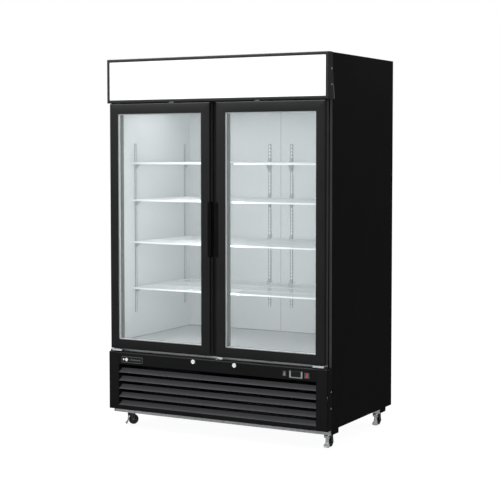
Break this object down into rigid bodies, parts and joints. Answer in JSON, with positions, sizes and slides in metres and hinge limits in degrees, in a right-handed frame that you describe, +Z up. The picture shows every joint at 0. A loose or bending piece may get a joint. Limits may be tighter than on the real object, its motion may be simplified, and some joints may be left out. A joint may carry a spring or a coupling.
{
  "type": "glass door merchandiser",
  "caption": "Tall refrigerated display cabinet with twin hinged glazed doors, a lit header, wire shelves, a louvred base and castors.",
  "frame": {"origin": "on the floor, under the middle of the cabinet's bounding box", "axes": "+Z up, front of the doors towards -Y, +X to the right of someone facing the doors"},
  "size_m": [1.38, 0.864, 2.09],
  "materials": {
    "black_paint": "satin",
    "galvanised_steel": "satin",
    "foam": "matte",
    "white_paint": "satin",
    "black_plastic": "satin",
    "fin_aluminium": "matte",
    "lit_panel": "satin",
    "red_plastic": "gloss",
    "chrome_plate": "polished",
    "clear_glass": "polished",
    "gasket_rubber": "matte",
    "zinc_plate": "satin",
    "wheel_nylon": "satin",
    "coated_wire": "satin"
  },
  "bodies": {
    "cabinet": {"left_side_panel": "black_paint", "right_side_panel": "black_paint", "top_panel": "galvanised_steel", "back_panel": "galvanised_steel", "insulation": "foam", "inner_liner": "white_paint", "front_frame": "black_plastic", "evaporator_cover": "white_paint", "evaporator_coil": "fin_aluminium", "header_box": "black_paint", "header_panel": "lit_panel", "base_frame": "galvanised_steel", "base_grille": "black_paint", "controller": "black_plastic", "compressor": "black_paint", "condenser_coil": "fin_aluminium", "left_base_post": "black_paint", "left_lower_hinge": "zinc_plate", "left_upper_hinge": "zinc_plate", "left_front_standard": "zinc_plate", "left_rear_standard": "zinc_plate", "left_shelf_1": "coated_wire", "left_shelf_2": "coated_wire", "left_shelf_3": "coated_wire", "left_shelf_4": "coated_wire", "right_base_post": "black_paint", "right_lower_hinge": "zinc_plate", "right_upper_hinge": "zinc_plate", "right_front_standard": "zinc_plate", "right_rear_standard": "zinc_plate", "right_shelf_1": "coated_wire", "right_shelf_2": "coated_wire", "right_shelf_3": "coated_wire", "right_shelf_4": "coated_wire"},
    "left_door": {"left_door_frame": "black_plastic", "left_door_glass": "clear_glass", "left_door_gasket": "gasket_rubber", "left_door_handle": "black_plastic"},
    "right_door": {"right_door_frame": "black_plastic", "right_door_glass": "clear_glass", "right_door_gasket": "gasket_rubber", "right_door_handle": "black_plastic"},
    "left_lock_barrel": {"left_lock": "chrome_plate"},
    "right_lock_barrel": {"right_lock": "chrome_plate"},
    "light_rocker": {"light_switch": "black_plastic"},
    "power_rocker": {"power_switch": "red_plastic"},
    "front_left_swivel": {"front_left_fork": "zinc_plate"},
    "front_left_roller": {"front_left_wheel": "wheel_nylon"},
    "front_left_toe_brake": {"front_left_brake": "zinc_plate"},
    "front_right_swivel": {"front_right_fork": "zinc_plate"},
    "front_right_roller": {"front_right_wheel": "wheel_nylon"},
    "front_right_toe_brake": {"front_right_brake": "zinc_plate"},
    "rear_left_swivel": {"rear_left_fork": "zinc_plate"},
    "rear_left_roller": {"rear_left_wheel": "wheel_nylon"},
    "rear_left_toe_brake": {"rear_left_brake": "zinc_plate"},
    "rear_right_swivel": {"rear_right_fork": "zinc_plate"},
    "rear_right_roller": {"rear_right_wheel": "wheel_nylon"},
    "rear_right_toe_brake": {"rear_right_brake": "zinc_plate"},
    "cold_fan": {"evaporator_fan": "black_plastic"},
    "hot_fan": {"condenser_fan": "black_plastic"}
  },
  "joints": [
    {"name": "left_door_swing", "type": "hinge", "parent": "cabinet", "child": "left_door", "pos_m": [-0.655, -0.412, 1.15], "axis": [0, 0, -1], "range_deg": [0, 110], "stiffness_Nm_per_rad": 2.5, "springref_deg": -20.05},
    {"name": "right_door_swing", "type": "hinge", "parent": "cabinet", "child": "right_door", "pos_m": [0.655, -0.412, 1.15], "axis": [0, 0, 1], "range_deg": [0, 110], "stiffness_Nm_per_rad": 2.5, "springref_deg": -20.05},
    {"name": "left_lock_turn", "type": "hinge", "parent": "cabinet", "child": "left_lock_barrel", "pos_m": [-0.13, -0.42, 0.419], "axis": [0, -1, 0], "range_deg": [0, 90]},
    {"name": "right_lock_turn", "type": "hinge", "parent": "cabinet", "child": "right_lock_barrel", "pos_m": [0.13, -0.42, 0.419], "axis": [0, -1, 0], "range_deg": [0, 90]},
    {"name": "light_switch_rock", "type": "hinge", "parent": "cabinet", "child": "light_rocker", "pos_m": [0.4355, -0.4208, 0.3995], "axis": [1, 0, 0], "range_deg": [0, 12]},
    {"name": "power_switch_rock", "type": "hinge", "parent": "cabinet", "child": "power_rocker", "pos_m": [0.568, -0.4208, 0.398], "axis": [1, 0, 0], "range_deg": [0, 12]},
    {"name": "front_left_swivel_turn", "type": "hinge", "parent": "cabinet", "child": "front_left_swivel", "pos_m": [-0.631, -0.294, 0.075], "axis": [0, 0, 1], "continuous": true},
    {"name": "front_left_wheel_roll", "type": "hinge", "parent": "front_left_swivel", "child": "front_left_roller", "pos_m": [-0.61888, -0.287, 0.0285], "axis": [0.5, -0.866, 0], "continuous": true},
    {"name": "front_left_brake_press", "type": "hinge", "parent": "front_left_swivel", "child": "front_left_toe_brake", "pos_m": [-0.64139, -0.3, 0.056], "axis": [-0.5, 0.866, 0], "range_deg": [0, 25]},
    {"name": "front_right_swivel_turn", "type": "hinge", "parent": "cabinet", "child": "front_right_swivel", "pos_m": [0.631, -0.294, 0.075], "axis": [0, 0, 1], "continuous": true},
    {"name": "front_right_wheel_roll", "type": "hinge", "parent": "front_right_swivel", "child": "front_right_roller", "pos_m": [0.631, -0.28, 0.0285], "axis": [1, 0, 0], "continuous": true},
    {"name": "front_right_brake_press", "type": "hinge", "parent": "front_right_swivel", "child": "front_right_toe_brake", "pos_m": [0.631, -0.306, 0.056], "axis": [-1, 0, 0], "range_deg": [0, 25]},
    {"name": "rear_left_swivel_turn", "type": "hinge", "parent": "cabinet", "child": "rear_left_swivel", "pos_m": [-0.631, 0.354, 0.075], "axis": [0, 0, 1], "continuous": true},
    {"name": "rear_left_wheel_roll", "type": "hinge", "parent": "rear_left_swivel", "child": "rear_left_roller", "pos_m": [-0.631, 0.368, 0.0285], "axis": [1, 0, 0], "continuous": true},
    {"name": "rear_left_brake_press", "type": "hinge", "parent": "rear_left_swivel", "child": "rear_left_toe_brake", "pos_m": [-0.631, 0.342, 0.056], "axis": [-1, 0, 0], "range_deg": [0, 25]},
    {"name": "rear_right_swivel_turn", "type": "hinge", "parent": "cabinet", "child": "rear_right_swivel", "pos_m": [0.631, 0.354, 0.075], "axis": [0, 0, 1], "continuous": true},
    {"name": "rear_right_wheel_roll", "type": "hinge", "parent": "rear_right_swivel", "child": "rear_right_roller", "pos_m": [0.631, 0.368, 0.0285], "axis": [1, 0, 0], "continuous": true},
    {"name": "rear_right_brake_press", "type": "hinge", "parent": "rear_right_swivel", "child": "rear_right_toe_brake", "pos_m": [0.631, 0.342, 0.056], "axis": [-1, 0, 0], "range_deg": [0, 25]},
    {"name": "evaporator_fan_spin", "type": "hinge", "parent": "cabinet", "child": "cold_fan", "pos_m": [0, -0.06, 1.865], "axis": [0, 0, 1], "continuous": true},
    {"name": "condenser_fan_spin", "type": "hinge", "parent": "cabinet", "child": "hot_fan", "pos_m": [-0.33, -0.225, 0.265], "axis": [0, 1, 0], "continuous": true}
  ]
}
